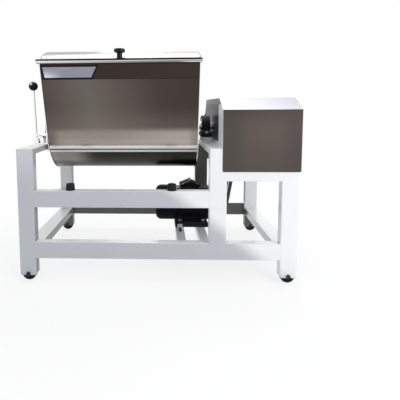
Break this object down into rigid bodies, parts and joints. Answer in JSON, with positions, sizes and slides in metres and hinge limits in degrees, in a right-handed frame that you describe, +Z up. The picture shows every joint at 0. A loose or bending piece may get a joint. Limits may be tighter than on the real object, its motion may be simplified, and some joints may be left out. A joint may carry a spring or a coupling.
{
  "type": "horizontal dough mixer",
  "caption": "Horizontal dough mixer: tilting stainless trough with arched lid on a white wheeled frame, belt and gear drive under a side cover, lock lever.",
  "frame": {"origin": "on the floor, under the middle of the tube frame", "axes": "+X along the mixing shaft to the drive side, +Y away from the side the trough tips to, +Z up"},
  "size_m": [1.173, 0.687, 0.9882],
  "materials": {
    "white_paint": "gloss",
    "zinc": "satin",
    "rubber": "matte",
    "grey_paint": "satin",
    "black_iron": "satin",
    "bearing_steel": "ground",
    "gear_steel": "machined",
    "cast_iron": "cast",
    "bronze": "machined",
    "belt_rubber": "matte",
    "black_plastic": "gloss",
    "stainless": "brushed",
    "cover_steel": "brushed",
    "nameplate": "satin"
  },
  "bodies": {
    "frame": {"front_left_leg": "white_paint", "rear_left_leg": "white_paint", "front_middle_post": "white_paint", "rear_middle_post": "white_paint", "front_right_leg": "white_paint", "rear_right_leg": "white_paint", "front_upper_rail": "white_paint", "front_lower_rail": "white_paint", "rear_lower_rail": "white_paint", "drive_top_rails": "white_paint", "bottom_side_rails": "white_paint", "top_beams": "white_paint", "motor_support_rails": "white_paint", "wheel_axles": "zinc", "tilt_buffers": "rubber", "bearing_spacers": "grey_paint", "bearing_housings": "black_iron", "bearing_inserts": "bearing_steel", "bearing_bolts": "zinc", "drive_plates": "cast_iron", "drive_bushes": "bronze", "drive_belts": "belt_rubber", "motor_body": "black_iron", "motor_fan_cover": "black_plastic", "terminal_box": "black_plastic", "motor_eye": "black_iron", "motor_base_plate": "black_iron", "motor_fasteners": "zinc", "cover_front_shell": "cover_steel", "cover_rear_box": "cover_steel", "cover_top_tray": "cover_steel", "lock_bracket": "black_iron"},
    "trough": {"trough_shell": "stainless", "trough_left_end": "stainless", "trough_right_end": "stainless", "trough_hubs": "black_iron", "rim_bands": "stainless", "nameplate": "nameplate", "trough_hinge_leaves": "zinc"},
    "lid": {"lid": "stainless", "lid_knob": "black_plastic", "lid_hinge_leaves": "zinc"},
    "mixer": {"mixer_shaft": "bearing_steel", "mixing_blades": "stainless", "main_gear": "gear_steel"},
    "cluster": {"cluster_gear": "gear_steel"},
    "back": {"back_shaft": "bearing_steel", "back_gear": "gear_steel"},
    "input": {"input_shaft": "bearing_steel", "large_pulley": "cast_iron"},
    "rotor": {"motor_shaft": "bearing_steel", "motor_fan": "black_plastic", "motor_pulley": "cast_iron"},
    "front_left_wheel": {"front_left_wheel": "rubber"},
    "front_right_wheel": {"front_right_wheel": "rubber"},
    "rear_left_wheel": {"rear_left_wheel": "rubber"},
    "rear_right_wheel": {"rear_right_wheel": "rubber"},
    "lever": {"lock_lever": "black_iron", "lever_ball": "black_plastic"},
    "pin": {"lock_pin": "bearing_steel"}
  },
  "joints": [
    {"name": "trough_tilt", "type": "hinge", "parent": "frame", "child": "trough", "pos_m": [-0.151, 0, 0.6342], "axis": [1, 0, 0], "range_deg": [0, 77]},
    {"name": "lid_hinge", "type": "hinge", "parent": "trough", "child": "lid", "pos_m": [-0.151, 0.29001, 0.9172], "axis": [-1, 0, 0], "range_deg": [0, 105]},
    {"name": "mixer_spin", "type": "hinge", "parent": "frame", "child": "mixer", "pos_m": [0, 0, 0.6342], "axis": [1, 0, 0], "continuous": true},
    {"name": "cluster_spin", "type": "hinge", "parent": "frame", "child": "cluster", "pos_m": [0, 0, 0.6342], "axis": [1, 0, 0], "continuous": true},
    {"name": "back_shaft_spin", "type": "hinge", "parent": "frame", "child": "back", "pos_m": [0, 0.13956, 0.608], "axis": [1, 0, 0], "continuous": true},
    {"name": "input_shaft_spin", "type": "hinge", "parent": "frame", "child": "input", "pos_m": [0, -0.14972, 0.608], "axis": [1, 0, 0], "continuous": true},
    {"name": "motor_spin", "type": "hinge", "parent": "frame", "child": "rotor", "pos_m": [0, 0.05, 0.239], "axis": [1, 0, 0], "continuous": true},
    {"name": "front_left_wheel_spin", "type": "hinge", "parent": "frame", "child": "front_left_wheel", "pos_m": [-0.54, -0.313, 0.03], "axis": [0, 1, 0], "continuous": true},
    {"name": "front_right_wheel_spin", "type": "hinge", "parent": "frame", "child": "front_right_wheel", "pos_m": [0.54, -0.313, 0.03], "axis": [0, 1, 0], "continuous": true},
    {"name": "rear_left_wheel_spin", "type": "hinge", "parent": "frame", "child": "rear_left_wheel", "pos_m": [-0.54, 0.313, 0.03], "axis": [0, 1, 0], "continuous": true},
    {"name": "rear_right_wheel_spin", "type": "hinge", "parent": "frame", "child": "rear_right_wheel", "pos_m": [0.54, 0.313, 0.03], "axis": [0, 1, 0], "continuous": true},
    {"name": "lever_pull", "type": "hinge", "parent": "frame", "child": "lever", "pos_m": [-0.564, -0.112, 0.575], "axis": [0, -1, 0], "range_deg": [0, 25]},
    {"name": "pin_slide", "type": "slide", "parent": "frame", "child": "pin", "axis": [-1, 0, 0], "range_m": [0, 0.011]}
  ],
  "couplings": [
    {"joint": "back_shaft_spin", "follows": "mixer_spin", "ratio": -2.2273},
    {"joint": "cluster_spin", "follows": "mixer_spin", "ratio": 4.9607},
    {"joint": "input_shaft_spin", "follows": "mixer_spin", "ratio": -15.985},
    {"joint": "motor_spin", "follows": "mixer_spin", "ratio": -37.297},
    {"joint": "pin_slide", "follows": "lever_pull", "m_per_rad": 0.025}
  ]
}
